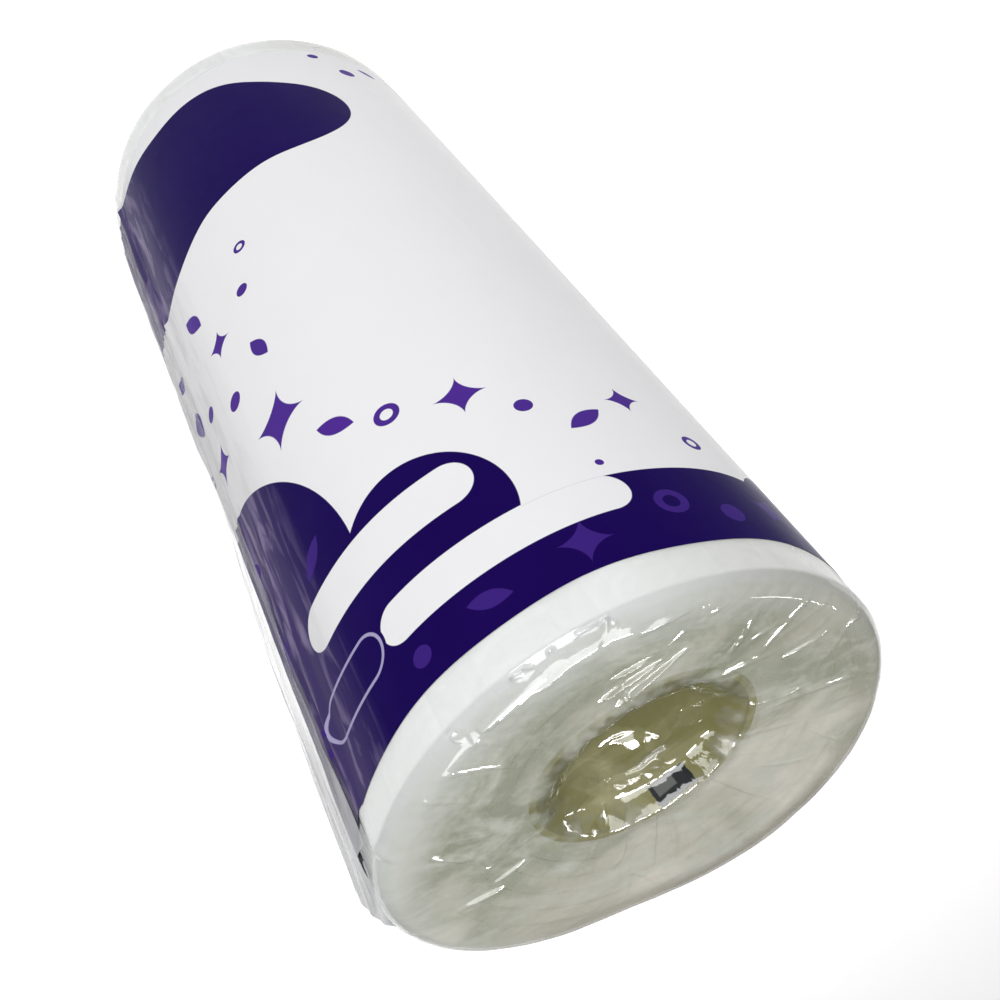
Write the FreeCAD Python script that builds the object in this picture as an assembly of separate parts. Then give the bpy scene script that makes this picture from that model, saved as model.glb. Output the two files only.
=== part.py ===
"""A wrapped roll of paper kitchen towels, standing on one end.

The roll is three pieces: a cardboard core, the towel web wound on it, and a closed
wrap of thin clear film. Z runs along the roll. The origin is in the middle of the end
that it stands on. The roll is soft: it has a small flat spot on its +Y side, where it
has lain, and its core is pressed a little oval.
"""
import FreeCAD
import Part
import math
import os

# Towel web, wound: its width is the roll's length
WEB_WIDTH = 280.0
ROLL_WIDE = 113.0          # across X, over the wound web
FLAT_WIDTH = 22.0          # the flat spot, which the round sides run into
WEB_EDGE_RADIUS = 4.0      # soft outer corner of the sawn ends

# Turns that show on the sawn ends, as rings standing a little lower than their neighbours
TURN_COUNT = 5
TURN_GROOVE_WIDTH = 1.0
TURN_GROOVE_DEPTH = 0.3

# Cardboard core, pressed oval and off the middle by the soft roll
CORE_WIDTH = 42.0          # outside, across its short way
CORE_FLATS = 8.0           # straight stretch on each of its two pressed sides
CORE_WALL = 1.5
CORE_TURN = 29.0           # degrees from X to the core's long way
CORE_OFFSET_X = 2.0
CORE_OFFSET_Y = -7.4
CORE_FIT = 0.1             # from the web's bore to the core

# Film wrap: one layer round the side, gathered layers over the ends
FILM_WALL = 0.3
FILM_END_WALL = 0.9
FILM_FIT = 0.2             # from the web to the film, round the side and at the top end

# Gathers: valleys between the pleats that run over each end to the core
GATHER_COUNT = 18
GATHER_DEPTH = 0.5
GATHER_WIDTH = 3.2
GATHER_INNER_GAP = 2.5     # from the dip's rim to where a valley starts
GATHER_OUTER_GAP = 7.0     # from the longest valley's end to the roll's side
GATHER_UNEVEN = 9.0        # how much shorter the shortest valley is

# Dip where the film is drawn in over the core's mouth, with its bunched middle
DIP_DEPTH = 6.0
DIP_TAPER = 7.0            # how much smaller in radius the dip's floor is than its rim
DIP_FIT = 0.7              # from the core's bore to the film round the dip
BUNCH_WIDE = 13.0
BUNCH_TOP = 5.0
BUNCH_HEIGHT = 4.6

# Lap where the film's two long edges overlap, on the +X side towards the back
LAP_WIDTH = 16.0
LAP_WALL = 0.4
LAP_ANGLE = 112.0          # degrees from -Y towards +X
LAP_END_GAP = 5.0          # from each end of the roll to the lap

FRONT_RADIUS = ROLL_WIDE / 2
BACK_RADIUS = FRONT_RADIUS - FLAT_WIDTH / 2
ROUND_Y = FLAT_WIDTH / 4   # where the front half round meets the two back rounds
FILM_HEIGHT = WEB_WIDTH + FILM_FIT + 2 * FILM_END_WALL
DIP_RADIUS = CORE_WIDTH / 2 - CORE_WALL - DIP_FIT - FILM_END_WALL


def arc_through(start, middle, end):
    return Part.Arc(start, middle, end).toShape()


def level_line(start, end):
    return Part.LineSegment(start, end).toShape()


def roll_section(outset, height):
    """The roll's section, larger all round by the outset: half round, two rounds and a flat."""
    front = FRONT_RADIUS + outset
    back = BACK_RADIUS + outset
    half_flat = FLAT_WIDTH / 2
    slant = back * math.sqrt(0.5)
    left_flat = FreeCAD.Vector(-half_flat, ROUND_Y + back, height)
    right_flat = FreeCAD.Vector(half_flat, ROUND_Y + back, height)
    right_mid = FreeCAD.Vector(half_flat + slant, ROUND_Y + slant, height)
    right = FreeCAD.Vector(front, ROUND_Y, height)
    foremost = FreeCAD.Vector(0, ROUND_Y - front, height)
    left = FreeCAD.Vector(-front, ROUND_Y, height)
    left_mid = FreeCAD.Vector(-half_flat - slant, ROUND_Y + slant, height)
    return Part.Face(Part.Wire([
        level_line(left_flat, right_flat),
        arc_through(right_flat, right_mid, right),
        arc_through(right, foremost, left),
        arc_through(left, left_mid, left_flat),
    ]))


def roll_prism(outset, low, high):
    return roll_section(outset, low).extrude(FreeCAD.Vector(0, 0, high - low))


def roll_body(outset, low, high, edge_radius):
    """The roll's outer form between two heights, with a round shoulder at each end."""
    body = roll_prism(outset, low, high)
    rims = [edge for edge in body.Edges if edge.BoundBox.ZLength < edge_radius]
    return body.makeFillet(edge_radius, rims)


def core_place(height):
    return FreeCAD.Vector(CORE_OFFSET_X, CORE_OFFSET_Y, height)


def core_prism(outset, low, high):
    """The core's pressed round, larger all round by the outset, between two heights."""
    radius = CORE_WIDTH / 2 + outset
    half = CORE_FLATS / 2
    lower_left = FreeCAD.Vector(-half, -radius, 0)
    lower_right = FreeCAD.Vector(half, -radius, 0)
    upper_right = FreeCAD.Vector(half, radius, 0)
    upper_left = FreeCAD.Vector(-half, radius, 0)
    face = Part.Face(Part.Wire([
        level_line(lower_left, lower_right),
        arc_through(lower_right, FreeCAD.Vector(half + radius, 0, 0), upper_right),
        level_line(upper_right, upper_left),
        arc_through(upper_left, FreeCAD.Vector(-half - radius, 0, 0), lower_left),
    ]))
    prism = face.extrude(FreeCAD.Vector(0, 0, high - low))
    prism.rotate(FreeCAD.Vector(0, 0, 0), FreeCAD.Vector(0, 0, 1), CORE_TURN)
    prism.translate(core_place(low))
    return prism


def turn_groove(index, low):
    """A ring that is cut into a sawn end, where a turn lies lower than its neighbours."""
    share = index / (TURN_COUNT + 1)
    core_radius = (CORE_WIDTH + CORE_FLATS) / 2
    roll_radius = (FRONT_RADIUS + BACK_RADIUS) / 2
    radius = core_radius + share * (roll_radius - core_radius)
    centre = core_place(0) * (1 - share)
    centre.z = low
    half = TURN_GROOVE_WIDTH / 2
    outer = Part.makeCylinder(radius + half, TURN_GROOVE_DEPTH, centre)
    return outer.cut(Part.makeCylinder(radius - half, TURN_GROOVE_DEPTH, centre))


def towel_roll():
    """The wound web, as one solid with the core's bore and the turns on its ends."""
    low = FILM_END_WALL
    high = low + WEB_WIDTH
    web = roll_body(0, low, high, WEB_EDGE_RADIUS)
    web = web.cut(core_prism(CORE_FIT, low, high))
    grooves = []
    for index in range(1, TURN_COUNT + 1):
        grooves.append(turn_groove(index, low))
        grooves.append(turn_groove(index, high - TURN_GROOVE_DEPTH))
    return web.cut(Part.makeCompound(grooves))


def core_tube():
    """The cardboard tube, as long as the web is wide."""
    low = FILM_END_WALL
    high = low + WEB_WIDTH
    return core_prism(0, low, high).cut(core_prism(-CORE_WALL, low, high))


def dip_plug(outset):
    """A round taper below the top end's plane: the dip, or with an outset the film round it."""
    floor_radius = DIP_RADIUS - DIP_TAPER + outset
    depth = DIP_DEPTH + outset
    return Part.makeCone(floor_radius, DIP_RADIUS + outset, depth, core_place(FILM_HEIGHT - depth))


def bunch():
    """The film's bunched middle, standing in the dip."""
    foot = core_place(FILM_HEIGHT - DIP_DEPTH)
    return Part.makeCone(BUNCH_WIDE / 2, BUNCH_TOP / 2, BUNCH_HEIGHT, foot)


def reach_to_side(angle):
    """From the core's middle to the web's side, in one direction."""
    start = core_place(0)
    end = start + FreeCAD.Vector(math.cos(angle), math.sin(angle), 0) * ROLL_WIDE
    return level_line(start, end).common(roll_section(0, 0)).Length


def gather_valley(index):
    """A long V between two pleats, in the top end, narrowing to a point at each end."""
    angle = 2 * math.pi * index / GATHER_COUNT
    start = DIP_RADIUS + GATHER_INNER_GAP
    shorter = GATHER_UNEVEN * (0.5 - 0.5 * math.cos(5.0 * index))
    end = reach_to_side(angle) - GATHER_OUTER_GAP - shorter
    middle = (start + end) / 2
    half = GATHER_WIDTH / 2
    rim = [FreeCAD.Vector(start, 0, 0), FreeCAD.Vector(middle, -half, 0),
           FreeCAD.Vector(end, 0, 0), FreeCAD.Vector(middle, half, 0)]
    bottom = FreeCAD.Vector(middle, 0, -GATHER_DEPTH)
    faces = [Part.Face(Part.makePolygon(rim + [rim[0]]))]
    for corner in range(len(rim)):
        following = rim[(corner + 1) % len(rim)]
        faces.append(Part.Face(Part.makePolygon([rim[corner], following, bottom, rim[corner]])))
    valley = Part.makeSolid(Part.makeShell(faces))
    valley.rotate(FreeCAD.Vector(0, 0, 0), FreeCAD.Vector(0, 0, 1), math.degrees(angle))
    valley.translate(core_place(FILM_HEIGHT))
    return valley


def both_ends(shape):
    """A shape at the top end and its mirror image at the end that the roll stands on."""
    middle = FreeCAD.Vector(0, 0, FILM_HEIGHT / 2)
    return [shape, shape.mirror(middle, FreeCAD.Vector(0, 0, 1))]


def film_lap():
    """The strip where one edge of the film lies over the other."""
    low = LAP_END_GAP
    high = FILM_HEIGHT - LAP_END_GAP
    side = FILM_FIT + FILM_WALL
    strip = roll_prism(side + LAP_WALL, low, high).cut(roll_prism(side - FILM_WALL / 2, low, high))
    window = Part.makeBox(LAP_WIDTH, ROLL_WIDE, high - low, FreeCAD.Vector(-LAP_WIDTH / 2, -ROLL_WIDE, low))
    window.rotate(FreeCAD.Vector(0, 0, 0), FreeCAD.Vector(0, 0, 1), LAP_ANGLE)
    return strip.common(window)


def film_wrap():
    """The closed wrap, with its gathered ends drawn into dips over the core."""
    skin = roll_body(FILM_FIT + FILM_WALL, 0, FILM_HEIGHT, WEB_EDGE_RADIUS + FILM_WALL)
    valleys = []
    for index in range(GATHER_COUNT):
        valleys += both_ends(gather_valley(index))
    dips = both_ends(dip_plug(0).cut(bunch()))
    skin = skin.cut(Part.makeCompound(valleys + dips))
    inside = roll_body(FILM_FIT, FILM_END_WALL, FILM_HEIGHT - FILM_END_WALL, WEB_EDGE_RADIUS)
    inside = inside.cut(Part.makeCompound(both_ends(dip_plug(FILM_END_WALL))))
    return skin.fuse(film_lap()).cut(inside)


def main():
    os.makedirs("parts", exist_ok=True)
    pieces = {"core_tube": core_tube(), "towel_roll": towel_roll(), "film_wrap": film_wrap()}
    for name, shape in pieces.items():
        shape.Solids[0].exportStep("parts/%s.step" % name)
        print(name, len(shape.Solids), "solid", shape.isValid(), "%.0f mm3" % shape.Volume)


main()
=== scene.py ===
"""How the wrapped roll of kitchen towels looks.

White towel web on a cardboard core, in thin film: a printed sleeve wound round the side,
a clear margin along the film's lap, and clear crumpled film that runs over both ends and is
drawn into the core's mouth. Lengths are in millimetres here until a mesh is made. A place on
the side is given by its arc, round from the middle of the front towards +X, and its depth
below the top end. A place on an end is given by its x and y, as in plan.
"""
import math

import bpy
import numpy as np
from mathutils import Matrix, Vector


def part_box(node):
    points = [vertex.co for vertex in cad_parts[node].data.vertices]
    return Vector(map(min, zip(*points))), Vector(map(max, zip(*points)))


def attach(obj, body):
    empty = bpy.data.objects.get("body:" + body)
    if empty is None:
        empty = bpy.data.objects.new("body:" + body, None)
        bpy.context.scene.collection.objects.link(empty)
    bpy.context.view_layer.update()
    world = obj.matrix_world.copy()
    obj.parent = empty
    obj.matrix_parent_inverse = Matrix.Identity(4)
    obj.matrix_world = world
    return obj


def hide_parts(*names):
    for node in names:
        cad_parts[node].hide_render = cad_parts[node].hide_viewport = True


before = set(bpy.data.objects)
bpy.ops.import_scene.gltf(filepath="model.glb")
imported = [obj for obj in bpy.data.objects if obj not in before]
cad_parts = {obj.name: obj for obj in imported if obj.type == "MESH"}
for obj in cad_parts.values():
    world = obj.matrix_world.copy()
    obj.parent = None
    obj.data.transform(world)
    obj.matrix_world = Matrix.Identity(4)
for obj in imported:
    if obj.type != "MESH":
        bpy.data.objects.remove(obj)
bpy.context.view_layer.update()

MM = 0.001

# Sizes of the roll, from the frame
WRAP_LOW, WRAP_HIGH = (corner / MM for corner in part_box("film_wrap"))
CORE_LOW, CORE_HIGH = (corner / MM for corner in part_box("core_tube"))
HEIGHT = WRAP_HIGH.z
FRONT_RADIUS = (WRAP_HIGH.x - WRAP_LOW.x) / 2
BACK_RADIUS = (WRAP_HIGH.y - WRAP_LOW.y) - FRONT_RADIUS
FLAT_WIDTH = 2 * (FRONT_RADIUS - BACK_RADIUS)
ROUND_Y = WRAP_HIGH.y - BACK_RADIUS
GIRTH = math.pi * (FRONT_RADIUS + BACK_RADIUS) + FLAT_WIDTH
CORE_X = (CORE_LOW.x + CORE_HIGH.x) / 2
CORE_Y = (CORE_LOW.y + CORE_HIGH.y) / 2

# The core's mouth, pressed oval, and the film drawn down over it
MOUTH_LONG = 23.3
MOUTH_SHORT = 19.3
MOUTH_TURN = math.radians(29)
DIP_DEPTH = 4.4
DIP_FLOOR = 0.62            # reach of the dip's floor from the middle, as a share of the mouth
DIP_SLOPE = 0.42            # and of the slope round it
BUNCH_HEIGHT = 2.6
BUNCH_RADIUS = 7.0

# Where the print ends, and the clear film that goes on from under its edge
PRINT_TOP = 12.5            # depth where the print starts
PRINT_FOOT = 15.0           # height above the foot where it ends
UNDER_PRINT = 2.5           # how far the clear film reaches under the print's edge
EDGE_RADIUS = 4.3
SIDE_LENGTH = PRINT_TOP + UNDER_PRINT - EDGE_RADIUS
CORNER_LENGTH = EDGE_RADIUS * math.pi / 2
RIM_RELIEF = 0.10           # share of the end's relief that goes on down the side
TOP_SETTLE = 0.75           # how far the top end's film is pressed down
TOP_HIGHEST = 9.0
FOOT_RELIEF = 0.45          # how much of the top end's relief the foot keeps
FOOT_HIGHEST = 0.55
FOOT_LIFT = 0.62            # how far the foot's film is raised towards the web
FOOT_CLEAR = 0.04           # least height of the foot's film above the floor

# The film's lap, where its outer edge ends on the +X side towards the back
LAP_ARC = 107.0
LAP_UNDER = 9.0             # how far the inner edge reaches past the outer one
LAP_STEP = 0.35
LAP_CLIMB = 30.0            # from the print's edge back to where the outer turn starts to climb
LAP_RISE = 20.0             # stretch over which it climbs by the step
PRINT_LAST = LAP_ARC - 4.0
SLEEVE_GAP = 0.08
MARGIN_START = LAP_ARC - 28.0
MARGIN_END = LAP_ARC + 10.0
MARGIN_PAST_PRINT = 6.0     # how far it reaches past the print at each end
MARGIN_GAP = 0.5
MARGIN_BULGE = 1.9          # how far it stands off near the top end, where it is slack
MARGIN_CRINKLE = 0.35

# Streaked stretch of the side, where slack film has drawn into ripples along the roll
STREAK_START = 74.0
STREAK_END = 118.0
# Where the painted shade and sheen of the streaked stretch begin, and how far they take to grow
STREAK_SHADING_START = 58.0
STREAK_SHADING_RISE = 14.0
STREAK_COUNT = 46
STREAK_WANDER = 0.5
CALM_DEPTH = 6.0            # depth where the ripples start to grow from nearly flat
CALM_RISE = 24.0            # and the stretch over which they reach their full height

# Low ripples all round, on long shallow waves
RIPPLE_COUNT = 26
RIPPLE_LEAN = 0.05
WAVE_HEIGHT = 0.10
WAVE_COUNT = 9

# Fineness of the meshes
COLUMNS = 620
SIDE_ROWS = 150
END_ROWS = 118
SHOULDER_ROWS = 12
RIM_ROWS = 12
MARGIN_ROWS = 150
MARGIN_COLUMNS = 110
PATTERN_CELLS = 64          # random patterns repeat after so many cells

# Camera, as the photograph was taken: aimed at a point near the roll's axis
AIM = Vector((-4.73, -2.16, 195.28)) * MM
AIM_DISTANCE = 289.11 * MM
LOOK_AZIMUTH = 24.53
LOOK_ELEVATION = 43.40
CAMERA_ROLL = math.radians(146.77)
LENS = 42.01
SENSOR = 36.0

# Narrow lamp behind the roll, whose glints show on the folds of the top end
GLINT_LAMP_AZIMUTH = -155
GLINT_LAMP_ELEVATION = 58
GLINT_LAMP_DISTANCE = 1.0


def direction(azimuth, elevation):
    """The way to a place whose azimuth counts from -Y towards +X, both angles in degrees."""
    around = math.radians(azimuth)
    up = math.radians(elevation)
    return Vector((math.cos(up) * math.sin(around), -math.cos(up) * math.cos(around), math.sin(up)))


EYE = AIM + direction(LOOK_AZIMUTH, LOOK_ELEVATION) * AIM_DISTANCE
LIGHT_TARGET = Vector((0, 0, HEIGHT * 0.75 * MM))
GLINT_LAMP = LIGHT_TARGET + direction(GLINT_LAMP_AZIMUTH, GLINT_LAMP_ELEVATION) * GLINT_LAMP_DISTANCE


# Shapes of the wrapped roll

def section(arc):
    """Plan place and outward direction at an arc round the film's outer side."""
    arc = (np.asarray(arc, float) + GIRTH / 2) % GIRTH - GIRTH / 2
    side = np.where(arc < 0, -1.0, 1.0)
    run = np.abs(arc)
    quarter = FRONT_RADIUS * math.pi / 2
    round_end = quarter + BACK_RADIUS * math.pi / 2
    in_front = run <= quarter
    back_turn = math.pi / 2 + (np.minimum(run, round_end) - quarter) / BACK_RADIUS
    turn = np.where(in_front, run / FRONT_RADIUS, back_turn)
    radius = np.where(in_front, FRONT_RADIUS, BACK_RADIUS)
    centre = np.where(in_front, 0.0, FLAT_WIDTH / 2)
    flat_run = np.maximum(run - round_end, 0)
    x = side * (centre + radius * np.sin(turn) - flat_run)
    y = ROUND_Y - radius * np.cos(turn)
    return x, y, side * np.sin(turn), -np.cos(turn)


def window(value, start, end, soft):
    """1 between start and end, falling smoothly to 0 over the soft stretch outside them."""
    rise = np.clip((value - start + soft) / soft, 0, 1)
    fall = np.clip((end + soft - value) / soft, 0, 1)
    return rise * rise * (3 - 2 * rise) * fall * fall * (3 - 2 * fall)


def swells(x, y, size, seed):
    """A smooth uneven field of about -1 to 1, with swells of the given size."""
    rng = np.random.default_rng(seed)
    total = np.zeros(np.broadcast(x, y).shape)
    count = 8
    for _ in range(count):
        angle = rng.uniform(0, 2 * math.pi)
        pitch = size * rng.uniform(0.7, 1.5)
        phase = rng.uniform(0, 2 * math.pi)
        total += np.sin((x * math.cos(angle) + y * math.sin(angle)) * 2 * math.pi / pitch + phase)
    return total / count * 1.6


def facets(u, v, across, seed):
    """Creased film: flat triangles between corners of random height. It repeats across u."""
    rng = np.random.default_rng(seed)
    heights = rng.uniform(-1, 1, (across, PATTERN_CELLS))
    i = np.floor(u).astype(int)
    j = np.floor(v).astype(int)
    f = u - i
    g = v - j

    def corner(step_i, step_j):
        return heights[(i + step_i) % across, (j + step_j) % PATTERN_CELLS]

    low = corner(0, 0) + f * (corner(1, 0) - corner(0, 0)) + g * (corner(0, 1) - corner(0, 0))
    high = corner(1, 1) + (1 - f) * (corner(0, 1) - corner(1, 1))
    high = high + (1 - g) * (corner(1, 0) - corner(1, 1))
    return np.where(f + g < 1, low, high)


def ripple(off, depth, height, width, centre, reach):
    """A low ridge that runs along the roll and fades at both ends; off is the way to its crest."""
    shown = window(depth, centre - reach / 3, centre + reach / 3, reach)
    return height * np.maximum(0, 1 - np.abs(off) / width) * shown


def side_slack(arc, depth):
    """How far the film stands off the side: long ripples, many of them in the streaked stretch."""
    rng = np.random.default_rng(11)
    arc = (np.asarray(arc, float) + GIRTH / 2) % GIRTH - GIRTH / 2
    total = WAVE_HEIGHT + WAVE_HEIGHT * np.sin(arc * 2 * math.pi / GIRTH * WAVE_COUNT + depth / 47.0)
    for _ in range(STREAK_COUNT):
        middle = rng.uniform(STREAK_START, STREAK_END)
        height = rng.uniform(0.25, 0.75)
        width = rng.uniform(0.8, 1.9)
        centre = rng.uniform(5, HEIGHT - 5)
        reach = rng.uniform(18, 60)
        lean = rng.uniform(-0.06, 0.06)
        wander = STREAK_WANDER * np.sin(depth / 9.0 + middle)
        off = arc - middle - lean * (depth - centre) - wander
        total = total + ripple(off, depth, height, width, centre, reach)
    total = total * np.clip((depth - CALM_DEPTH) / CALM_RISE, 0.3, 1)
    for _ in range(RIPPLE_COUNT):
        middle = rng.uniform(-GIRTH / 2, GIRTH / 2)
        height = rng.uniform(0.03, 0.12)
        width = rng.uniform(2.0, 5.0)
        centre = rng.uniform(10, HEIGHT - 10)
        reach = rng.uniform(15, 50)
        off = arc - middle - RIPPLE_LEAN * (depth - centre)
        total = total + ripple(off, depth, height, width, centre, reach)
    return total


def grid_mesh(name, points, closed, spots, fill_end=False):
    """A smooth mesh on rows and columns of points, with named point attributes."""
    rows, columns = points.shape[:2]
    vertices = points.reshape(-1, 3) * MM
    index = np.arange(rows * columns).reshape(rows, columns)
    following = np.roll(index, -1, axis=1) if closed else index[:, 1:]
    start = index if closed else index[:, :-1]
    quads = np.stack([start[:-1], following[:-1], following[1:], start[1:]], axis=-1).reshape(-1, 4)
    faces = quads.tolist()
    if fill_end:
        faces.append(index[-1].tolist())
    mesh = bpy.data.meshes.new(name)
    mesh.from_pydata(vertices.tolist(), [], faces)
    mesh.shade_smooth()
    for spot, values in spots.items():
        layer = mesh.attributes.new(spot, "FLOAT_VECTOR", "POINT")
        layer.data.foreach_set("vector", values.reshape(-1).astype(np.float32))
    piece = bpy.data.objects.new(name, mesh)
    bpy.context.collection.objects.link(piece)
    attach(piece, "root")
    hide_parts("film_wrap")
    return piece


# Print on the sleeve: fields of colour and scattered motifs

# Indigo cloud at the far end and cloud tops along the near band: arc, depth, radius
FAR_CLOUD = ((66, 224, 36), (34, 226, 31), (10, 219, 22), (96, 238, 33),
             (-150, 238, 26), (-185, 246, 30), (-216, 240, 24))
NEAR_CLOUD = ((33, 41, 20), (60, 34, 26), (96, 56, 50), (-52, 22, 18), (-92, 26, 24), (-128, 18, 24),
              (-172, 34, 30), (-214, 40, 40))
FAR_CLOUD_BLEND = 14.0      # how softly the far cloud's rounds run into one another
BAND_DEPTH = 34.0
# Bare places in the band: middle arc, middle depth, half length of the straight part, half height
PILLS = ((44, 48.5, 20, 5.6), (22, 29.5, 23, 4.8))
TAB = (63.0, 29.5, 7.5, 4.9)
TAB_LINE = 0.35
TAB_GAP = 1.2
PRINT_EDGE = 0.18           # softness of a printed edge
LINE_EDGE = 0.15

# Motifs: kind, arc, depth, size, turn in degrees
DOT, SPARKLE, LEAF, RING = 1, 2, 3, 4
MOTIFS = (
    (SPARKLE, 50, 102, 9.0, 20), (LEAF, 38, 84, 5.5, 40), (RING, 27, 76, 3.2, 0), (SPARKLE, 12, 70, 6.0, 10),
    (DOT, 2, 60, 2.0, 0), (LEAF, -8, 52, 5.0, -30), (SPARKLE, -20, 58, 4.5, 0), (RING, -30, 44, 2.4, 0),
    (DOT, 60, 124, 2.6, 0), (LEAF, 46, 128, 5.0, 70), (SPARKLE, 57, 146, 5.0, 15), (DOT, 43, 152, 2.0, 0),
    (LEAF, 63, 166, 6.0, 60), (RING, 38, 168, 2.2, 0), (DOT, 72, 136, 2.2, 0), (SPARKLE, 76, 120, 6.0, 30),
    (LEAF, 82, 146, 6.5, 80), (DOT, 84, 168, 2.8, 0), (RING, 92, 132, 3.2, 0), (SPARKLE, 98, 158, 5.5, 5),
    (SPARKLE, 8, 20, 5.5, 12), (RING, -12, 24, 3.6, 0), (LEAF, 28, 19, 4.6, 20), (DOT, -24, 20, 2.6, 0),
    (SPARKLE, -38, 24, 5.0, 25), (DOT, 44, 19, 2.2, 0), (LEAF, 58, 62, 5.0, -40), (DOT, 82, 84, 3.0, 0),
    (SPARKLE, 84, 60, 7.0, 18), (LEAF, 96, 88, 6.0, 30), (RING, 78, 30, 3.8, 0), (SPARKLE, 98, 32, 6.0, 0),
    (DOT, -4, 38, 0.9, 0), (DOT, -22, 250, 2.6, 0), (DOT, -14, 262, 1.8, 0), (LEAF, -32, 258, 3.6, 10),
    (SPARKLE, -64, 56, 6.0, 10), (LEAF, -82, 62, 5.0, 50), (DOT, -100, 70, 2.6, 0), (RING, -116, 60, 3.0, 0),
    (SPARKLE, -138, 74, 7.5, 20), (LEAF, -156, 92, 6.0, -20), (DOT, -170, 108, 2.8, 0),
    (SPARKLE, -188, 98, 6.0, 0), (RING, -206, 112, 3.4, 0), (LEAF, -222, 128, 6.0, 40),
    (DOT, -196, 140, 2.4, 0), (SPARKLE, -160, 190, 6.0, 10), (DOT, -176, 176, 2.4, 0),
    (LEAF, -140, 204, 5.0, -60), (RING, -206, 196, 3.2, 0), (SPARKLE, -226, 176, 6.5, 0),
    (RING, -70, 24, 3.2, 0), (SPARKLE, -106, 26, 5.5, 0), (LEAF, -146, 26, 5.5, 30), (DOT, -182, 34, 3.2, 0),
    (SPARKLE, -210, 30, 6.5, 20), (RING, -230, 66, 3.6, 0),
)
MOTIF_SETS = 3              # neighbours in the list go to different sets, so that each set is sparse
MOTIF_MARGIN = 2.4          # how far past its edge a motif's place is kept on the mesh
MOTIF_APART = 4.5           # how much nearer it has to be than the next one of its set


def nearest_motif(arc, depth, motifs):
    """For each point, its place within the motif that it lies near, and that motif's kind or 0."""
    gaps = np.array([np.hypot(arc - motif[1], depth - motif[2]) - motif[3] for motif in motifs])
    order = np.sort(gaps, axis=0)
    chosen = np.argmin(gaps, axis=0)
    kinds, middles, deeps, sizes, turns = (np.array(column, float)[chosen] for column in zip(*motifs))
    turns = np.radians(turns)
    along_arc = (arc - middles) / sizes
    along_depth = (depth - deeps) / sizes
    u = along_arc * np.cos(turns) + along_depth * np.sin(turns)
    v = along_depth * np.cos(turns) - along_arc * np.sin(turns)
    held = (order[0] < MOTIF_MARGIN) & (order[1] - order[0] > MOTIF_APART)
    return np.stack([u, v, np.where(held, kinds, 0)], axis=-1)


# Pieces of film

def off_the_side(arc, depth, outset):
    """Points that stand off the film's nominal side by the outset."""
    x, y, nx, ny = section(arc)
    return np.stack([x + nx * outset, y + ny * outset, HEIGHT - depth], axis=-1)


def sleeve_arcs():
    """Columns of the printed sleeve, closer together in the streaked stretch."""
    even = np.linspace(LAP_ARC - GIRTH - LAP_UNDER, PRINT_LAST, 4001)
    density = 1 + 1.6 * window(even, STREAK_START, STREAK_END, 6)
    share = np.cumsum(density)
    return np.interp(np.linspace(share[0], share[-1], COLUMNS), share, even)


def printed_sleeve():
    """The printed film, wound a little over one turn, with its outer edge lapped over its start."""
    arcs = sleeve_arcs()
    rows = np.linspace(0, 1, SIDE_ROWS)[:, None]
    top = PRINT_TOP + 0.35 * np.sin(arcs / 17.0) + 0.2 * np.sin(arcs / 6.1)
    foot = HEIGHT - PRINT_FOOT + 0.4 * np.sin(arcs / 13.0)
    depth = top + (foot - top) * rows
    arc = np.broadcast_to(arcs, depth.shape)
    lapped = np.clip((arc - (PRINT_LAST - LAP_CLIMB)) / LAP_RISE, 0, 1)
    outset = side_slack(arc, depth) + SLEEVE_GAP + LAP_STEP * lapped
    spots = {"label": np.stack([arc, depth, np.zeros(arc.shape)], axis=-1)}
    for number in range(MOTIF_SETS):
        spots["motif_%d" % number] = nearest_motif(arc, depth, MOTIFS[number::MOTIF_SETS])
    return grid_mesh("wrap_sleeve", off_the_side(arc, depth, outset), False, spots)


def lap_margin():
    """The clear margin at the film's outer edge, lying slack over the printed turn beneath it."""
    arcs = np.linspace(MARGIN_START, MARGIN_END, MARGIN_COLUMNS)
    highest = PRINT_TOP - MARGIN_PAST_PRINT
    lowest = HEIGHT - PRINT_FOOT + MARGIN_PAST_PRINT
    depth = np.linspace(highest, lowest, MARGIN_ROWS)[:, None] + 0 * arcs
    arc = np.broadcast_to(arcs, depth.shape)
    across = (arc - arcs[0]) / (arcs[-1] - arcs[0])
    loose = window(depth, -10, 62, 70)
    bulge = MARGIN_BULGE * loose * np.sin(np.clip(across, 0, 1) * math.pi) ** 0.8
    facet = facets(arc / 3.1 + 0.4 * np.sin(depth / 8), depth / 17.0, PATTERN_CELLS, 5)
    crinkle = MARGIN_CRINKLE * facet + MARGIN_CRINKLE
    outset = side_slack(arc, depth) + MARGIN_GAP + LAP_STEP * 0.6 + bulge + crinkle * (0.3 + loose)
    label = np.stack([arc, depth, np.zeros(arc.shape)], axis=-1)
    return grid_mesh("wrap_lap_margin", off_the_side(arc, depth, outset), False, {"label": label})


# Creases of the top end that the eye goes to first: start and end in plan, height, width
SHOWN_FOLDS = (
    ((12.5, -35.5), (3.5, -39.0), 0.5, 0.7), ((15.0, -30.5), (1.0, -37.5), 0.6, 0.8),
    ((11.0, -27.5), (-4.0, -38.5), 0.6, 0.8), ((8.0, -45.5), (-6.0, -49.0), 0.5, 0.9),
    ((-19.0, -14.0), (-33.0, -13.0), 0.6, 1.0), ((-24.0, -25.0), (-36.0, -29.0), 0.5, 0.8),
    ((38.0, 4.0), (48.0, -3.0), 0.6, 1.2), ((30.0, 17.0), (42.0, 20.0), 0.6, 1.4),
    ((26.0, 10.0), (36.0, 16.0), 0.4, 1.0), ((41.5, -34.5), (37.5, -34.0), 0.6, 0.8),
)
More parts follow.
